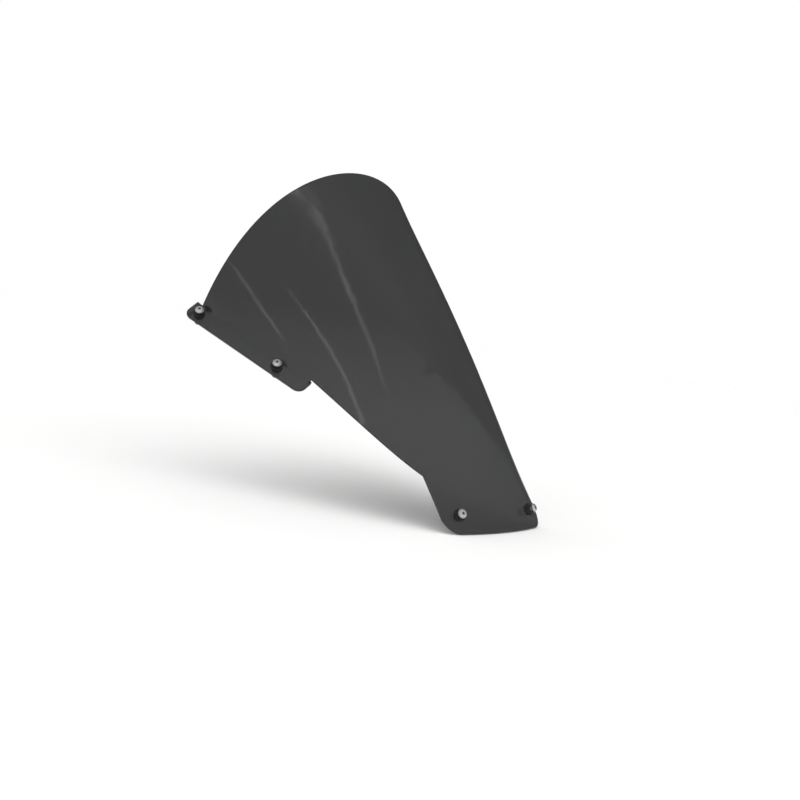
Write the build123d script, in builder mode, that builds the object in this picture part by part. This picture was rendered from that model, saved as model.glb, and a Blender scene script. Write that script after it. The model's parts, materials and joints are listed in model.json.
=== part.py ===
# Windshield screen of a sports motorcycle: one thermoformed acrylic shell held by six screw and well nut sets.
# Units are millimetres. +Z is up, -Y is the front of the motorcycle, +X is the rider's left.
# The origin lies on the centre plane, midway between the two nose fixings and level with their heads.
import os
from math import cos, radians, sin

from build123d import *

os.makedirs("parts", exist_ok=True)

# ---- shell ----
WALL = 3.0
# centre line, side view (y, z): from the hidden end of the nose tongue to just past the top edge
CROWN_LOW = (-19.0, -39.0)
CROWN_HIGH = (293.5, 356.5)
CROWN_LOW_SLOPE = 68.0
CROWN_HIGH_SLOPE = 41.0
CROWN_ARM = 178.0
# arch sections square to the centre line: share of its length, half width and depth of the ellipse
ARCHES = (
    (0.00, 111.0, 20.0),
    (0.12, 115.0, 64.0),
    (0.27, 124.5, 129.0),
    (0.44, 134.5, 181.0),
    (0.62, 146.5, 204.0),
    (0.80, 161.0, 199.0),
    (1.00, 182.0, 160.0),
)
ARCH_END = 8.0
SKIRT = 25.0

# ---- outline of the shell ----
# side view (y, z)
TOP_EDGE = (277.5, 342.8)
REAR_CORNER = (340.5, 172.7)
FREE_EDGE_REAR = (195.0, 111.5)
FREE_EDGE_FRONT = (43.0, 30.0)
# nose tongue, hidden behind the fairing in use
TONGUE_HALF_WIDTH = 83.0
TONGUE_END = -22.0
TONGUE_CORNER = 18.0
EDGE_ROUND = 0.9

# ---- side flanges ----
FLANGE_START = (120.8, 199.4, 111.6)
FLANGE_RUN = (0.241, 0.900, 0.363)
FLANGE_NORMAL = (0.489, -0.436, 0.756)
FLANGE_FRONT = -6.0
FLANGE_REAR = 168.0
FLANGE_WIDTH = 23.0
FLANGE_ROOT = 40.0
FLANGE_CORNER = 10.0

# ---- fixings ----
SIDE_HOLES = {"side_front": 38.0, "side_rear": 154.4}
SIDE_HOLE_OFFSET = 10.5
NOSE_HOLE = (62.5, 6.0, -2.5)
NOSE_HOLE_NORMAL = (0.30, -0.828, 0.474)

HOLE_RADIUS = 4.8
# room left for the fairing panel between the rubber flange and the washer
PANEL_GAP = 3.0

RUBBER_FLANGE_RADIUS = 7.0
RUBBER_FLANGE = 1.5
RUBBER_EDGE = 0.4
BULGE_RADIUS = 6.2
BULGE_END = -7.5
BULGE_ROUND = 1.2
RUBBER_BORE_RADIUS = 2.8
RUBBER_END = -14.5

INSERT_RADIUS = 3.5
INSERT_RIM_RADIUS = 4.2
INSERT_RIM = 0.8
INSERT_BORE_RADIUS = 2.35
INSERT_LENGTH = 6.5
INSERT_END = RUBBER_END

WASHER_BASE = RUBBER_FLANGE + PANEL_GAP
WASHER_RADIUS = 5.6
WASHER = 1.0
WASHER_HOLE_RADIUS = 2.8

HEAD_BASE = WASHER_BASE + WASHER

HEAD_RIM_RADIUS = 5.2
HEAD_RIM = 0.8
HEAD_RADIUS = 4.5
HEAD_HEIGHT = 2.75
HEAD_DOME = 1.7
HEX_RADIUS = 1.75
HEX_DEPTH = 1.5
NECK_RADIUS = 2.7
SHANK_RADIUS = 2.5
THREAD_RADIUS = 2.3
THREAD_TIP = -13.6
TIP_CHAMFER = 0.6

BASE = (Align.CENTER, Align.CENTER, Align.MIN)


def crown_line():
    """Centre line of the outer face, in the plane of symmetry."""
    y0, z0 = CROWN_LOW
    y1, z1 = CROWN_HIGH
    a0 = radians(CROWN_LOW_SLOPE)
    a1 = radians(CROWN_HIGH_SLOPE)
    arm_low = (0, y0 + CROWN_ARM * cos(a0), z0 + CROWN_ARM * sin(a0))
    arm_high = (0, y1 - CROWN_ARM * cos(a1), z1 - CROWN_ARM * sin(a1))
    return Bezier((0, y0, z0), arm_low, arm_high, (0, y1, z1))


def arch_section(crown, share, half_width, depth, inset):
    """Closed section square to the centre line; an inset one bounds the hollow under the wall."""
    plane = Plane(origin=crown @ share, x_dir=(1, 0, 0), z_dir=crown % share)
    rx = half_width - inset
    ry = depth - inset
    end_x = rx * cos(radians(ARCH_END))
    end_y = depth - ry * sin(radians(ARCH_END))
    floor = depth + SKIRT + 10 * inset
    with BuildSketch(plane) as section:
        with BuildLine():
            EllipticalCenterArc((0, depth), rx, ry, 180 + ARCH_END, arc_size=180 - 2 * ARCH_END)
            Polyline((end_x, end_y), (end_x, floor), (-end_x, floor), (-end_x, end_y))
        make_face()
    return section.sketch


def arch_body(inset):
    """Solid under the outer face, or under the inner face when inset by the wall."""
    crown = crown_line()
    with BuildPart() as body:
        loft([arch_section(crown, *arch, inset) for arch in ARCHES])
    return body.part


def side_plane(side):
    """Plane of the outer face of one side flange: x along its run, z away from the shell."""
    x, y, z = FLANGE_START
    dx, dy, dz = FLANGE_RUN
    nx, ny, nz = FLANGE_NORMAL
    return Plane((side * x, y, z), (side * dx, dy, dz), (side * nx, ny, nz))


def side_seat(side, along):
    """Plane on the outer face of a side flange, centred on a hole."""
    plane = side_plane(side)
    return Plane(plane.from_local_coords((along, -side * SIDE_HOLE_OFFSET, 0)), plane.x_dir, plane.z_dir)


def nose_seat(side):
    """Plane on the outer face of the tongue, centred on a hole."""
    x, y, z = NOSE_HOLE
    nx, ny, nz = NOSE_HOLE_NORMAL
    return Plane((side * x, y, z), (1, 0, side * -nx / nz), (side * nx, ny, nz))


def rim(builder, height, radius):
    """Circular edge of a turned piece at this height on its own axis."""
    circles = builder.edges().filter_by(GeomType.CIRCLE)
    level = [edge for edge in circles if abs(edge.arc_center.Z - height) < 0.01]
    return [edge for edge in level if abs(edge.radius - radius) < 0.01]


SIDES = {"right": -1, "left": 1}
SEATS = {}
for hand, side in SIDES.items():
    SEATS["nose_" + hand] = nose_seat(side)
    for row, along in SIDE_HOLES.items():
        SEATS[row + "_" + hand] = side_seat(side, along)

outer_body = arch_body(0)
inner_body = arch_body(WALL)

# ---- screen ----
# arched shell, trimmed to its outline and hollowed, with polished edges
with BuildPart() as shell:
    add(outer_body)
    # rear and top edge, one straight line in side view
    with BuildSketch(Plane.YZ):
        with BuildLine():
            rise = ((TOP_EDGE[0] - REAR_CORNER[0]) / 4, (TOP_EDGE[1] - REAR_CORNER[1]) / 4)
            above = (TOP_EDGE[0] + rise[0], TOP_EDGE[1] + rise[1])
            below = (REAR_CORNER[0] - rise[0], REAR_CORNER[1] - rise[1])
            Polyline(above, below, (below[0], -100), (-100, -100), (-100, above[1]), close=True)
        make_face()
    extrude(amount=300, both=True, mode=Mode.INTERSECT)
    # free lower edges, which leave the tongue standing between them
    for side in SIDES.values():
        with BuildSketch(Plane.YZ.offset(side * TONGUE_HALF_WIDTH)):
            with BuildLine():
                slope = (FREE_EDGE_REAR[1] - FREE_EDGE_FRONT[1]) / (FREE_EDGE_REAR[0] - FREE_EDGE_FRONT[0])
                Polyline(
                    FREE_EDGE_REAR,
                    (FREE_EDGE_REAR[0] + 60, FREE_EDGE_REAR[1] - 150),
                    (FREE_EDGE_FRONT[0] - 100, FREE_EDGE_REAR[1] - 250),
                    (FREE_EDGE_FRONT[0] - 100, FREE_EDGE_FRONT[1] - 100 * slope),
                    close=True,
                )
            make_face()
        extrude(amount=side * 300, mode=Mode.SUBTRACT)
    # rounded end of the tongue, in front view
    with BuildSketch(Plane.XZ) as front:
        with Locations((0, TONGUE_END)):
            Rectangle(2 * TONGUE_HALF_WIDTH + 3, 200, align=(Align.CENTER, Align.MIN))
        fillet(front.vertices().group_by(Axis.Y)[0], TONGUE_CORNER)
        Rectangle(800, 500, align=(Align.CENTER, Align.MIN))
    extrude(amount=400, both=True, mode=Mode.INTERSECT)
    add(inner_body, mode=Mode.SUBTRACT)
    # polished edges: the top and rear edge, the free lower edges and the end of the tongue
    edges = shell.edges().filter_by(lambda edge: edge.length > 1.5 * TONGUE_HALF_WIDTH)
    top = [edge for edge in edges if edge.center().Z > REAR_CORNER[1]]
    front = [edge for edge in edges if edge.center().Y < FREE_EDGE_REAR[0]]
    fillet(top + front, EDGE_ROUND)


def flange_outline(side, front, rear, edge, root):
    """Rectangle in the plane of a side flange, reaching from its root under the shell to its outer edge."""
    Polyline(
        (front, side * root),
        (front, -side * edge),
        (rear, -side * edge),
        (rear, side * root),
        close=True,
    )


# flat side flange with two rounded outer corners, its root cut to the inner face of the shell
def side_flange(side):
    with BuildPart() as flange:
        with BuildSketch(side_plane(side)) as plate:
            with BuildLine():
                flange_outline(side, FLANGE_FRONT, FLANGE_REAR, FLANGE_WIDTH, FLANGE_ROOT)
            make_face()
            fillet(plate.vertices().sort_by(Axis((0, 0, 0), (0, -side, 0)))[-2:], FLANGE_CORNER)
        extrude(amount=-WALL)
        fillet(flange.faces().sort_by(Axis((0, 0, 0), side_plane(side).z_dir))[-1].edges(), EDGE_ROUND)
        fillet(flange.faces().sort_by(Axis((0, 0, 0), side_plane(side).z_dir))[0].edges(), EDGE_ROUND)
        add(inner_body, mode=Mode.SUBTRACT)
    return flange.part


with BuildPart() as screen:
    add(shell.part)
    # the wall stops at the underside of each flange
    for side in SIDES.values():
        with BuildSketch(side_plane(side).offset(-WALL)):
            with BuildLine():
                flange_outline(side, FLANGE_FRONT, FLANGE_REAR + 100, 80, 80)
            make_face()
        extrude(amount=-120, mode=Mode.SUBTRACT)
    for side in SIDES.values():
        add(side_flange(side))
    for seat in SEATS.values():
        with BuildSketch(seat.offset(2 * WALL)):
            Circle(HOLE_RADIUS)
        extrude(amount=-4 * WALL, mode=Mode.SUBTRACT)
screen.part.label = "screen"
export_step(screen.part, "parts/screen.step")

# ---- fixings, each piece made on its own axis with the flange's outer face at height 0 ----
# brass insert moulded into the inner end of the rubber sleeve
with BuildPart() as insert:
    with Locations((0, 0, INSERT_END)):
        Cylinder(INSERT_RADIUS, INSERT_LENGTH, align=BASE)
        Cylinder(INSERT_RIM_RADIUS, INSERT_RIM, align=BASE)
        Cylinder(INSERT_BORE_RADIUS, INSERT_LENGTH, align=BASE, mode=Mode.SUBTRACT)

# rubber sleeve drawn tight: flange on the outer face, bulge behind the wall, insert at its end
with BuildPart() as well_nut:
    with Locations((0, 0, -WALL / 2)):
        Cylinder(RUBBER_FLANGE_RADIUS, WALL / 2 + RUBBER_FLANGE, align=BASE)
    fillet(rim(well_nut, RUBBER_FLANGE, RUBBER_FLANGE_RADIUS), RUBBER_EDGE)
    with Locations((0, 0, RUBBER_END)):
        Cylinder(HOLE_RADIUS, -RUBBER_END, align=BASE)
    with Locations((0, 0, BULGE_END)):
        Cylinder(BULGE_RADIUS, -WALL / 2 - BULGE_END, align=BASE)
    fillet(rim(well_nut, BULGE_END, BULGE_RADIUS), BULGE_ROUND)
    with Locations((0, 0, RUBBER_END)):
        Cylinder(RUBBER_BORE_RADIUS, RUBBER_FLANGE - RUBBER_END, align=BASE, mode=Mode.SUBTRACT)
    add(insert.part, mode=Mode.SUBTRACT)

# nylon washer under the screw head, one panel thickness above the rubber flange
with BuildPart() as washer:
    with Locations((0, 0, WASHER_BASE)):
        Cylinder(WASHER_RADIUS, WASHER, align=BASE)
        Cylinder(WASHER_HOLE_RADIUS, WASHER, align=BASE, mode=Mode.SUBTRACT)

# flanged button head screw: hexagon socket, plain shank, threaded end
with BuildPart() as screw:
    with Locations((0, 0, THREAD_TIP)):
        Cylinder(THREAD_RADIUS, RUBBER_FLANGE - THREAD_TIP, align=BASE)
    chamfer(rim(screw, THREAD_TIP, THREAD_RADIUS), TIP_CHAMFER)
    with Locations((0, 0, RUBBER_FLANGE)):
        Cylinder(SHANK_RADIUS, PANEL_GAP, align=BASE)
    with Locations((0, 0, WASHER_BASE)):
        Cylinder(NECK_RADIUS, WASHER, align=BASE)
    with Locations((0, 0, HEAD_BASE)):
        Cylinder(HEAD_RADIUS, HEAD_HEIGHT, align=BASE)
    fillet(rim(screw, HEAD_BASE + HEAD_HEIGHT, HEAD_RADIUS), HEAD_DOME)
    with Locations((0, 0, HEAD_BASE)):
        Cylinder(HEAD_RIM_RADIUS, HEAD_RIM, align=BASE)
    with BuildSketch(Plane.XY.offset(HEAD_BASE + HEAD_HEIGHT)):
        RegularPolygon(HEX_RADIUS, 6)
    extrude(amount=-HEX_DEPTH, mode=Mode.SUBTRACT)


def place(piece, kind, spot, seat, trim=False):
    """Put a copy of a fixing piece on its seat, cut back to the shell if it bears on it, and export it."""
    with BuildPart() as placed:
        add(piece.part.moved(seat.location))
        if trim:
            add(screen.part, mode=Mode.SUBTRACT)
    placed.part.label = kind + "_" + spot
    export_step(placed.part, "parts/" + placed.part.label + ".step")


for spot, seat in SEATS.items():
    place(insert, "insert", spot, seat)
    place(well_nut, "well_nut", spot, seat, trim=True)
    place(washer, "washer", spot, seat)
    place(screw, "screw", spot, seat)
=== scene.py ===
"""A smoke acrylic motorcycle windscreen with its well nuts, washers and screws.

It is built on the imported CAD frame. The screen, well nuts and inserts keep their CAD meshes.
Screws and washers get threads, hexagon sockets and rounded edges.
"""

import json
import math

import bmesh
import bpy
from mathutils import Matrix, Vector


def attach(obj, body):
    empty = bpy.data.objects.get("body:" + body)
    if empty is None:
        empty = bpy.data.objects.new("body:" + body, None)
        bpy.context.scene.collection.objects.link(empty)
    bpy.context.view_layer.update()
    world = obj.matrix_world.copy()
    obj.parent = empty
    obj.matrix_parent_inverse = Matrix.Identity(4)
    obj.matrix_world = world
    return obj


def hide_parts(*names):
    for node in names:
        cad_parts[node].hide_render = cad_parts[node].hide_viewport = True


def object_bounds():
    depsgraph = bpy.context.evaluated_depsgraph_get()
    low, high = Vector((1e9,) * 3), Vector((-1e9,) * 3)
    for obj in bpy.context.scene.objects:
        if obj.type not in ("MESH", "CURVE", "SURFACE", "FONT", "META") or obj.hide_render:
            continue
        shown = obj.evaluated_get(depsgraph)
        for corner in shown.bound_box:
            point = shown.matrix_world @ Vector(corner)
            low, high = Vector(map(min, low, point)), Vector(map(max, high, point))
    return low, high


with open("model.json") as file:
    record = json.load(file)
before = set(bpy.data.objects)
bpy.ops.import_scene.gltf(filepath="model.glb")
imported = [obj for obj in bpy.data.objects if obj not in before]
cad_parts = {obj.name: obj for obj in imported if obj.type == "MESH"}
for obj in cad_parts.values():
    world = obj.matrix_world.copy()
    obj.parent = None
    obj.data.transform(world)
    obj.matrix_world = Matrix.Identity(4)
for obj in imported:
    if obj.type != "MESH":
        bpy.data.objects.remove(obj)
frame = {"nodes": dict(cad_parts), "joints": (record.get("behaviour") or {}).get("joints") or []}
cad_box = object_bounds()
nodes = frame["nodes"]

MM = 0.001
HANDS = ("_right", "_left")
PLACES = [row + hand for row in ("nose", "side_front", "side_rear") for hand in HANDS]


def add_node(tree, kind, **values):
    """A new node in a tree, with these of its settings."""
    made = tree.nodes.new(kind)
    for name, value in values.items():
        setattr(made, name, value)
    return made


def set_range(node, low, high, to_low, to_high):
    """Sets what a Map Range node maps, and onto what."""
    ends = (("From Min", low), ("From Max", high), ("To Min", to_low), ("To Max", to_high))
    for name, number in ends:
        node.inputs[name].default_value = number


# ---- camera: front right three-quarter view, a little above the screen and tilted ----

VIEW_TURN, VIEW_RISE, VIEW_ROLL = (math.radians(a) for a in (50.0, 6.0, 8.0))
VIEW_AIM = Vector((0.0, 0.170, 0.160))
VIEW_DISTANCE = 2.4
VIEW_LENS = 93.96
VIEW_SHIFT = (-0.0056, -0.0726)

# how far a mirrored ray points away from the viewer, from and to, and the studio's glow there
MIRRORED_GLOW = (1.0, -0.2, 0.05, 0.72)


def make_camera():
    back = Vector((
        -math.sin(VIEW_TURN) * math.cos(VIEW_RISE),
        -math.cos(VIEW_TURN) * math.cos(VIEW_RISE),
        math.sin(VIEW_RISE),
    ))
    level = Vector((math.cos(VIEW_TURN), -math.sin(VIEW_TURN), 0.0))
    upright = back.cross(level)
    right = level * math.cos(VIEW_ROLL) + upright * math.sin(VIEW_ROLL)
    up = back.cross(right)
    camera = bpy.data.objects.new("camera", bpy.data.cameras.new("camera"))
    bpy.context.scene.collection.objects.link(camera)
    turn = Matrix((right, up, back)).transposed().to_4x4()
    camera.matrix_world = Matrix.Translation(VIEW_AIM + back * VIEW_DISTANCE) @ turn
    camera.data.lens = VIEW_LENS
    camera.data.shift_x, camera.data.shift_y = VIEW_SHIFT
    bpy.context.scene.camera = camera


# ---- materials ----

# how far the cut of the rear edge leans back from upright
REAR_EDGE_TILT = math.radians(20.3)
# where the dark band along that cut fades in and out again, from the sheet's highest point
BAND_FADE_IN = (-2.2 * MM, -1.0 * MM)
BAND_FADE_OUT = (1.0 * MM, 1.5 * MM)

# how much light the tinted sheet lets through
TINT_CLEARNESS = 0.62

# base colours, linear: the plain tone and the tone of what lies on it, or the darker and lighter
TINT, TINT_DUST, TINT_CUT = (0.055, 0.056, 0.057), (0.16, 0.16, 0.155), (0.012, 0.012, 0.012)
RUBBER, RUBBER_BLOOM = (0.012, 0.012, 0.012), (0.040, 0.039, 0.037)
NYLON, NYLON_LIGHT = (0.028, 0.028, 0.028), (0.045, 0.045, 0.044)
STEEL, STEEL_LIGHT = (0.52, 0.52, 0.53), (0.66, 0.66, 0.66)
BRASS, BRASS_LIGHT = (0.62, 0.46, 0.20), (0.76, 0.60, 0.30)
# painted shade deep in the screws' hex sockets: dark and not metallic there
SOCKET_SHADE = (0.030, 0.029, 0.028)
PALE_FLOOR, PALE_FLOOR_LIGHT = (0.90, 0.90, 0.895), (0.92, 0.92, 0.915)


class Shading:
    """One node material, with short calls for the nodes that it needs."""

    def __init__(self, name):
        self.material = bpy.data.materials.new(name)
        self.material.use_nodes = True
        self.tree = self.material.node_tree
        self.tree.nodes.clear()
        self.surface = self.node("ShaderNodeBsdfPrincipled")
        output = self.node("ShaderNodeOutputMaterial")
        self.link(self.surface.outputs["BSDF"], output.inputs["Surface"])
        self.place = self.node("ShaderNodeTexCoord").outputs["Object"]

    def node(self, kind, **values):
        return add_node(self.tree, kind, **values)

    def link(self, a, b):
        self.tree.links.new(a, b)

    def fill(self, socket, value):
        """Feeds a node's input from another node, a number or a colour."""
        if isinstance(value, bpy.types.NodeSocket):
            self.link(value, socket)
        elif isinstance(value, tuple):
            socket.default_value = (*value, 1.0)
        else:
            socket.default_value = value

    def set(self, **values):
        for name, value in values.items():
            self.surface.inputs[name.replace("_", " ")].default_value = value

    def stretched(self, scale, turn=(0.0, 0.0, 0.0)):
        mapping = self.node("ShaderNodeMapping")
        mapping.inputs["Scale"].default_value = scale
        mapping.inputs["Rotation"].default_value = turn
        self.link(self.place, mapping.inputs["Vector"])
        return mapping.outputs["Vector"]

    def noise(self, scale, detail=2.0, roughness=0.5, vector=None):
        made = self.node("ShaderNodeTexNoise")
        made.inputs["Scale"].default_value = scale
        made.inputs["Detail"].default_value = detail
        made.inputs["Roughness"].default_value = roughness
        self.link(vector or self.place, made.inputs["Vector"])
        return made.outputs["Fac"]

    def specks(self, scale, size):
        """1 inside small round specks, 0 elsewhere."""
        made = self.node("ShaderNodeTexVoronoi")
        made.inputs["Scale"].default_value = scale
        self.link(self.place, made.inputs["Vector"])
        return self.spread(made.outputs["Distance"], size, size * 0.4, 0.0, 1.0)

    def spread(self, value, low, high, to_low, to_high):
        made = self.node("ShaderNodeMapRange")
        set_range(made, low, high, to_low, to_high)
        self.link(value, made.inputs["Value"])
        return made.outputs["Result"]

    def math(self, operation, a, b):
        made = self.node("ShaderNodeMath", operation=operation)
        self.fill(made.inputs[0], a)
        self.fill(made.inputs[1], b)
        return made.outputs["Value"]

    def colours(self, value, first, second):
        """The first colour where the value is 0, the second where it is 1."""
        made = self.node("ShaderNodeMix", data_type="RGBA")
        self.fill(made.inputs["A"], first)
        self.fill(made.inputs["B"], second)
        self.link(value, made.inputs["Factor"])
        return made.outputs["Result"]

    def bump(self, height, distance, strength):
        made = self.node("ShaderNodeBump")
        made.inputs["Distance"].default_value = distance
        made.inputs["Strength"].default_value = strength
        self.link(height, made.inputs["Height"])
        return made.outputs["Normal"]

    def feed(self, **values):
        for name, value in values.items():
            self.link(value, self.surface.inputs[name.replace("_", " ")])


def smoke_acrylic(sheet):
    """Dark tinted sheet, softly glossy, wiped, a little dusty, and darker along its rear edge."""
    m = Shading("smoke_acrylic")
    m.set(IOR=1.49)
    rise = Vector((0.0, math.cos(REAR_EDGE_TILT), math.sin(REAR_EDGE_TILT)))
    highest = max((vertex.co for vertex in sheet.data.vertices), key=lambda point: point.z)
    reach = rise.dot(highest)
    along = m.node("ShaderNodeVectorMath", operation="DOT_PRODUCT")
    along.inputs[1].default_value = rise
    m.link(m.place, along.inputs[0])
    fade_in = (reach + offset for offset in BAND_FADE_IN)
    fade_out = (reach + offset for offset in BAND_FADE_OUT)
    near = m.spread(along.outputs["Value"], *fade_in, 0.0, 1.0)
    past = m.spread(along.outputs["Value"], *fade_out, 1.0, 0.0)
    edge = m.math("MULTIPLY", near, past)
    wipes = m.noise(1.0, 3.0, 0.6, m.stretched((260.0, 28.0, 28.0), (0.35, 0.2, 0.5)))
    haze = m.noise(9.0, 3.0, 0.55)
    wiped = m.spread(wipes, 0.45, 0.75, 0.0, 0.03)
    smear = m.math("ADD", wiped, m.spread(haze, 0.4, 0.75, 0.06, 0.08))
    dust = m.math("MULTIPLY", m.specks(520.0, 0.13), m.spread(haze, 0.45, 0.65, 0.0, 1.0))
    face = m.colours(dust, TINT, TINT_DUST)
    m.feed(
        Base_Color=m.colours(edge, face, TINT_CUT),
        Transmission_Weight=m.spread(edge, 0.0, 1.0, TINT_CLEARNESS, 0.0),
        Roughness=m.math("ADD", smear, m.math("MULTIPLY", dust, 0.3)),
        Normal=m.bump(m.noise(11.0, 1.0), 0.0002, 0.2),
    )
    return m.material


def black_rubber():
    m = Shading("black_rubber")
    m.set(Specular_IOR_Level=0.35)
    grain = m.noise(2600.0, 3.0, 0.6)
    bloom = m.noise(240.0, 3.0, 0.6)
    bloomed = m.spread(bloom, 0.4, 0.75, 0.0, 1.0)
    m.feed(
        Base_Color=m.colours(bloomed, RUBBER, RUBBER_BLOOM),
        Roughness=m.spread(grain, 0.3, 0.7, 0.55, 0.78),
        Normal=m.bump(grain, 0.00006, 0.7),
    )
    return m.material


def nylon():
    m = Shading("nylon")
    grain = m.noise(3200.0, 2.0)
    m.feed(
        Base_Color=m.colours(m.noise(300.0, 2.0), NYLON, NYLON_LIGHT),
        Roughness=m.spread(grain, 0.3, 0.7, 0.34, 0.5),
        Normal=m.bump(grain, 0.00004, 0.6),
    )
    return m.material


def metal(name, dark, light, low, high):
    """Turned metal of that roughness, dark and dull where the mesh's painted shade is above 0."""
    m = Shading(name)
    lines = m.noise(1.0, 3.0, 0.6, m.stretched((1800.0, 1800.0, 9000.0)))
    cloud = m.noise(420.0, 3.0, 0.6)
    # painted shade: dark, dull and not metallic where the mesh's value is above 0, deep in the
    # sockets
    painted_shade = m.node("ShaderNodeAttribute", attribute_name="painted_shade").outputs["Fac"]
    turned = m.spread(lines, 0.3, 0.7, low, high)
    clean = m.math("ADD", turned, m.spread(cloud, 0.35, 0.75, 0.0, 0.08))
    m.feed(
        Base_Color=m.colours(painted_shade, m.colours(cloud, dark, light), SOCKET_SHADE),
        Metallic=m.math("SUBTRACT", 1.0, painted_shade),
        Roughness=m.math("ADD", clean, m.math("MULTIPLY", painted_shade, 0.3)),
        Normal=m.bump(lines, 0.00001, 0.5),
    )
    return m.material


def give(obj, material):
    """Every slot of obj takes the material."""
    slots = obj.material_slots
    if not slots:
        obj.data.materials.append(material)
    for slot in slots:
        slot.material = material


# ---- floor, light and background ----

# half the floor's width, and how far it lies below the object
FLOOR = 4.0
FLOOR_GAP = 0.5 * MM
# how far out the floor starts to fade, and is gone
FLOOR_FADE = (0.7, 2.2)

# thin lights, which draw faint streaks on the gloss: start, end, width and glow
TUBES = {
    "tube_top": ((-0.06, -0.170, 1.5), (-0.25, -0.235, 1.5), 0.006, 1.2),
    "tube_middle": ((-0.25, -0.235, 1.5), (-0.75, -0.39, 1.5), 0.014, 1.9),
    "tube_long": ((-0.75, -0.39, 1.5), (-1.40, -0.59, 1.5), 0.026, 1.7),
    "tube_far": ((-3.0, -0.24, 1.55), (-3.0, 0.02, 1.55), 0.07, 1.6),
    "tube_low": ((-3.0, 0.18, 0.61), (-3.0, 0.47, 0.61), 0.045, 1.5),
}


def make_stage():
    """A pale floor just under the object, which fades into the white background."""
    low, high = cad_box
    mesh = bpy.data.meshes.new("floor")
    corners = [(-FLOOR, -FLOOR), (FLOOR, -FLOOR), (FLOOR, FLOOR), (-FLOOR, FLOOR)]
    mesh.from_pydata([(x, y, 0.0) for x, y in corners], [], [(0, 1, 2, 3)])
    floor = bpy.data.objects.new("floor", mesh)
    floor.location = ((low[0] + high[0]) / 2, (low[1] + high[1]) / 2, low[2] - FLOOR_GAP)
    bpy.context.scene.collection.objects.link(floor)
    m = Shading("floor")
    m.set(Roughness=0.9, Specular_IOR_Level=0.1)
    reach = m.node("ShaderNodeVectorMath", operation="LENGTH")
    m.link(m.place, reach.inputs[0])
    fade = m.spread(reach.outputs["Value"], *FLOOR_FADE, 1.0, 0.0)
    m.feed(
        Base_Color=m.colours(m.noise(6.0, 2.0), PALE_FLOOR, PALE_FLOOR_LIGHT),
        Alpha=fade,
    )
    give(floor, m.material)


def make_light(name, spot, target, size, power):
    data = bpy.data.lights.new(name, "AREA")
    data.shape = "RECTANGLE"
    data.size, data.size_y = size
    data.energy = power
    lamp = bpy.data.objects.new(name, data)
    bpy.context.scene.collection.objects.link(lamp)
    lamp.location = spot
    lamp.rotation_euler = (Vector(spot) - Vector(target)).to_track_quat("Z", "Y").to_euler()
    lamp.visible_camera = False
    return lamp


def make_tube(name, start, end, width, glow):
    """A thin lit tube from start to end, which draws a faint streak on the shell's gloss."""
    start, end = Vector(start), Vector(end)
    along = (end - start).normalized()
    middle = (start + end) / 2
    away = (middle - VIEW_AIM).normalized()
    away = (away - away.dot(along) * along).normalized()
    length = (end - start).length
    lamp = make_light(name, middle, VIEW_AIM, (length, width), glow * math.pi * length * width)
    turn = Matrix((along, away.cross(along), away)).transposed().to_4x4()
    lamp.matrix_world = Matrix.Translation(middle) @ turn
    return lamp


def make_world():
    """Plain white behind the object. The shell mirrors a glow that differs with direction."""
    world = bpy.data.worlds.new("studio")
    world.use_nodes = True
    bpy.context.scene.world = world
    tree = world.node_tree
    tree.nodes.clear()

    away = add_node(tree, "ShaderNodeVectorMath", operation="DOT_PRODUCT")
    away.inputs[1].default_value = (math.sin(VIEW_TURN), math.cos(VIEW_TURN), 0.0)
    direction = add_node(tree, "ShaderNodeTexCoord").outputs["Generated"]
    tree.links.new(direction, away.inputs[0])
    glow = add_node(tree, "ShaderNodeMapRange")
    set_range(glow, *MIRRORED_GLOW)
    tree.links.new(away.outputs["Value"], glow.inputs["Value"])
    strength = add_node(tree, "ShaderNodeMix", data_type="FLOAT")
    strength.inputs["A"].default_value = 1.0
    mirrored = add_node(tree, "ShaderNodeLightPath").outputs["Is Glossy Ray"]
    tree.links.new(mirrored, strength.inputs["Factor"])
    tree.links.new(glow.outputs["Result"], strength.inputs["B"])
    background = add_node(tree, "ShaderNodeBackground")
    background.inputs["Color"].default_value = (1.0, 1.0, 1.0, 1.0)
    tree.links.new(strength.outputs["Result"], background.inputs["Strength"])
    output = add_node(tree, "ShaderNodeOutputWorld")
    tree.links.new(background.outputs["Background"], output.inputs["Surface"])


# ---- fixings, built on their own axis in mm, with the flange's outer face at height 0 ----

# points round a ring
SIDES = 48

# thread: pitch, crest radius, depth of the groove, lowest and highest point
PITCH = 0.8
THREAD = 2.3
THREAD_DEPTH = 0.42
THREAD_TIP = -13.6
THREAD_TOP = 1.3
# heights over which the groove fades in at the tip and out at the top
THREAD_FADE_IN = 0.5
THREAD_FADE_OUT = 0.6
# how much the tip is bevelled, and the radius of its flat end
TIP_BEVEL = 0.6
TIP_END = 0.5
# shares of half a pitch that are crest and slope
CREST = 0.14
SLOPE = 0.68
RINGS_PER_TURN = 10

# shank from thread to head, as radius and height
SHANK = (
    (2.3, 1.45), (2.42, 1.5), (2.5, 1.58), (2.5, 3.0),
    (2.5, 4.45), (2.7, 4.55), (2.7, 5.0), (2.7, 5.5),
)
# the head's bends: radius and height of the centre, size, start and stop in degrees, steps.
# They are the flange's lower and upper edge, the hollow round the dome, and the dome.
HEAD = (
    (5.08, 5.62, 0.12, -90, 0, 3),
    (5.0, 6.1, 0.2, 0, 90, 4),
    (4.7, 6.5, 0.2, 270, 180, 4),
    (2.8, 6.55, 1.7, 0, 90, 12),
)
HEAD_TOP = (2.3, 8.25)
# hexagon socket from its mouth down, as corner radius and height, and its round floor
SOCKET = ((2.0, 8.25), (1.86, 8.22), (1.75, 8.1), (1.75, 7.4), (1.75, 6.8), (1.68, 6.75))
SOCKET_FLOOR = ((1.45, 6.74), (0.2, 6.45))
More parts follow.
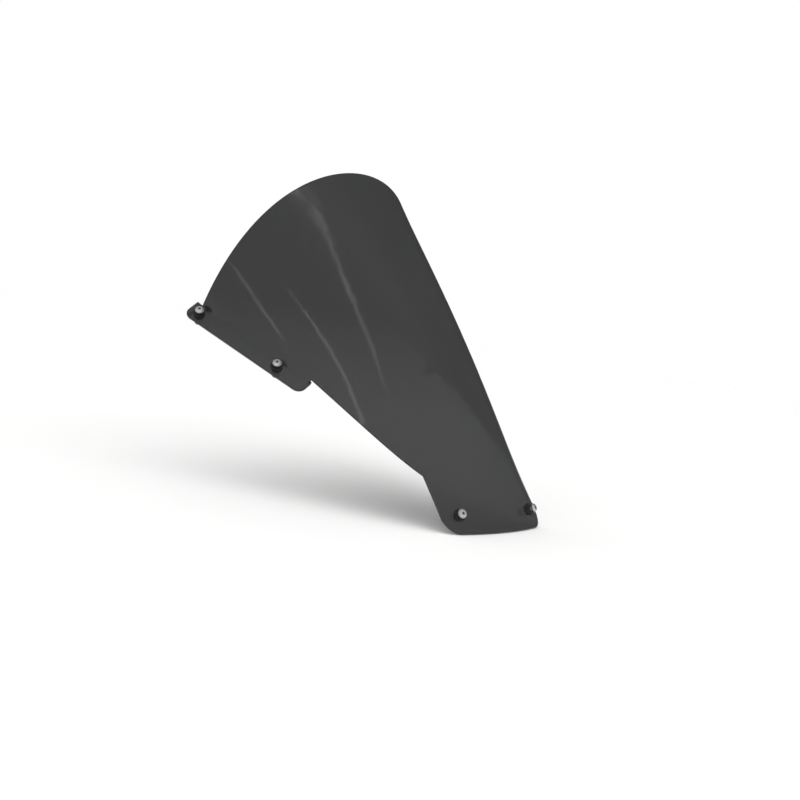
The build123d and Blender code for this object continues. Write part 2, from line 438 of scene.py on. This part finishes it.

# painted shade in the screw's socket, darker further down: its reach from the axis, lowest and
# highest height, and how far down from there it grows to its most
SOCKET_SHADE_REACH = 1.9
SOCKET_SHADE_LOW = 6.2
SOCKET_SHADE_HIGH = 8.15
SOCKET_SHADE_GROWTH = 0.5
SOCKET_SHADE_MOST = 0.9

# washer: lower and upper face, outer and hole radius, and the size of its rounded edges
WASHER_LOW = 4.5
WASHER_HIGH = 5.5
WASHER_OUT = 5.6
WASHER_HOLE = 2.8
WASHER_EDGE = 0.16

# edges of these meshes that bend more than this are drawn sharp
SHARP_BEND = math.radians(38.0)


def circle(radius, height):
    """A round ring of points."""
    return [
        (radius * math.cos(a), radius * math.sin(a), height)
        for a in (math.tau * i / SIDES for i in range(SIDES))
    ]


def hexagon(radius, height):
    """A ring on a hexagon of that corner radius."""
    points = []
    for i in range(SIDES):
        a = math.tau * i / SIDES
        off = a % (math.tau / 6) - math.tau / 12
        reach = radius * math.cos(math.tau / 12) / math.cos(off)
        points.append((reach * math.cos(a), reach * math.sin(a), height))
    return points


def thread_ring(height):
    """One ring of the thread: a groove that winds round, fading out at both ends."""
    above_tip, below_top = height - THREAD_TIP, THREAD_TOP - height
    fade = min(1.0, above_tip / THREAD_FADE_IN, below_top / THREAD_FADE_OUT)
    tip = THREAD - TIP_BEVEL + max(0.0, above_tip)
    points = []
    for i in range(SIDES):
        a = math.tau * i / SIDES
        phase = (height / PITCH - i / SIDES) % 1.0
        groove = min(1.0, max(0.0, (1.0 - abs(2.0 * phase - 1.0) - CREST) / SLOPE))
        reach = min(THREAD - THREAD_DEPTH * max(0.0, fade) * groove, tip)
        points.append((reach * math.cos(a), reach * math.sin(a), height))
    return points


def rounded(radius, height, size, start, stop, steps):
    """Rings round an edge: a quarter turn of that size about its own centre, in degrees."""
    rings = []
    for k in range(steps + 1):
        a = math.radians(start + (stop - start) * k / steps)
        rings.append(circle(radius + size * math.cos(a), height + size * math.sin(a)))
    return rings


def screw_rings():
    """A whole screw, from its tip to the floor of its socket."""
    turns = (THREAD_TOP - THREAD_TIP) / PITCH
    count = round(turns * RINGS_PER_TURN)
    rings = [circle(TIP_END, THREAD_TIP)]
    for k in range(count + 1):
        rings.append(thread_ring(THREAD_TIP + (THREAD_TOP - THREAD_TIP) * k / count))
    rings += [circle(*size) for size in SHANK]
    for bend in HEAD:
        rings += rounded(*bend)
    rings.append(circle(*HEAD_TOP))
    rings += [hexagon(*size) for size in SOCKET]
    rings += [circle(*size) for size in SOCKET_FLOOR]
    return rings


def washer_rings():
    """A flat ring with rounded edges, from its hole out along the lower face and back."""
    edge = WASHER_EDGE
    hole, out = WASHER_HOLE + edge, WASHER_OUT - edge
    low, high = WASHER_LOW + edge, WASHER_HIGH - edge
    middle = (WASHER_HOLE + WASHER_OUT) / 2
    return (
        rounded(hole, low, edge, 180, 270, 4)
        + [circle(middle, WASHER_LOW)]
        + rounded(out, low, edge, -90, 0, 4)
        + rounded(out, high, edge, 0, 90, 4)
        + [circle(middle, WASHER_HIGH)]
        + rounded(hole, high, edge, 90, 180, 4)
    )


def socket_painted_shade(point):
    """How much painted shade a point of a screw carries: none but deep in its socket."""
    x, y, height = (c / MM for c in point)
    if height < SOCKET_SHADE_LOW or math.hypot(x, y) > SOCKET_SHADE_REACH:
        return 0.0
    return min(SOCKET_SHADE_MOST, max(0.0, (SOCKET_SHADE_HIGH - height) / SOCKET_SHADE_GROWTH))


def mesh_piece(name, rings, closed, origin, axis):
    """A mesh from rings of points, stood on its seat.

    A closed one joins its last ring to its first, and an open one gets a face at both ends.
    """
    mesh = bpy.data.meshes.new(name)
    made = bmesh.new()
    rows = [[made.verts.new(tuple(c * MM for c in p)) for p in ring] for ring in rings]
    pairs = list(zip(rows, rows[1:])) + ([(rows[-1], rows[0])] if closed else [])
    for low, high in pairs:
        for i in range(len(low)):
            j = (i + 1) % len(low)
            made.faces.new((low[i], low[j], high[j], high[i]))
    if not closed:
        made.faces.new(rows[0])
        made.faces.new(rows[-1])
    bmesh.ops.recalc_face_normals(made, faces=made.faces)
    made.to_mesh(mesh)
    made.free()
    mesh.shade_smooth()
    # painted shade deep in each screw's hex socket, which the metal material reads
    painted_shade = mesh.attributes.new("painted_shade", "FLOAT", "POINT")
    for value, vertex in zip(painted_shade.data, mesh.vertices):
        value.value = socket_painted_shade(vertex.co)
    axis = Vector(axis).normalized()
    level = Vector((0.0, 0.0, 1.0)).cross(axis).normalized()
    turn = Matrix((level, axis.cross(level), axis)).transposed().to_4x4()
    mesh.transform(Matrix.Translation(Vector(origin)) @ turn)
    piece = bpy.data.objects.new(name, mesh)
    bpy.context.scene.collection.objects.link(piece)
    return piece


# ---- the scene ----

make_camera()
make_world()
make_stage()
overhead = make_light(
    "overhead", spot=(0.0, 0.2, 2.6), target=(0.0, 0.2, 0.1), size=(2.4, 2.4), power=14.0
)
overhead.visible_glossy = False
for name, tube in TUBES.items():
    make_tube(name, *tube)

screen = nodes["screen"]
give(screen, smoke_acrylic(screen))
rubber, plastic = black_rubber(), nylon()
steel = metal("steel", STEEL, STEEL_LIGHT, 0.22, 0.34)
brass = metal("brass", BRASS, BRASS_LIGHT, 0.28, 0.40)
seats = {j["child"].removeprefix("screw_body_"): j for j in frame["joints"] if j["type"] == "hinge"}
for place in PLACES:
    seat = seats[place]
    give(nodes["well_nut_" + place], rubber)
    give(nodes["insert_" + place], brass)
    made = (
        ("screw", screw_rings(), False, steel, "steel"),
        ("washer", washer_rings(), True, plastic, "nylon"),
    )
    for kind, rings, closed, finish, slot in made:
        piece = mesh_piece(kind + "_detail_" + place, rings, closed, seat["pos_m"], seat["axis"])
        piece.data.set_sharp_from_angle(angle=SHARP_BEND)
        give(piece, finish)
        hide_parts(kind + "_" + place)
        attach(piece, kind + "_body_" + place)

bpy.context.scene.view_settings.view_transform = "Standard"
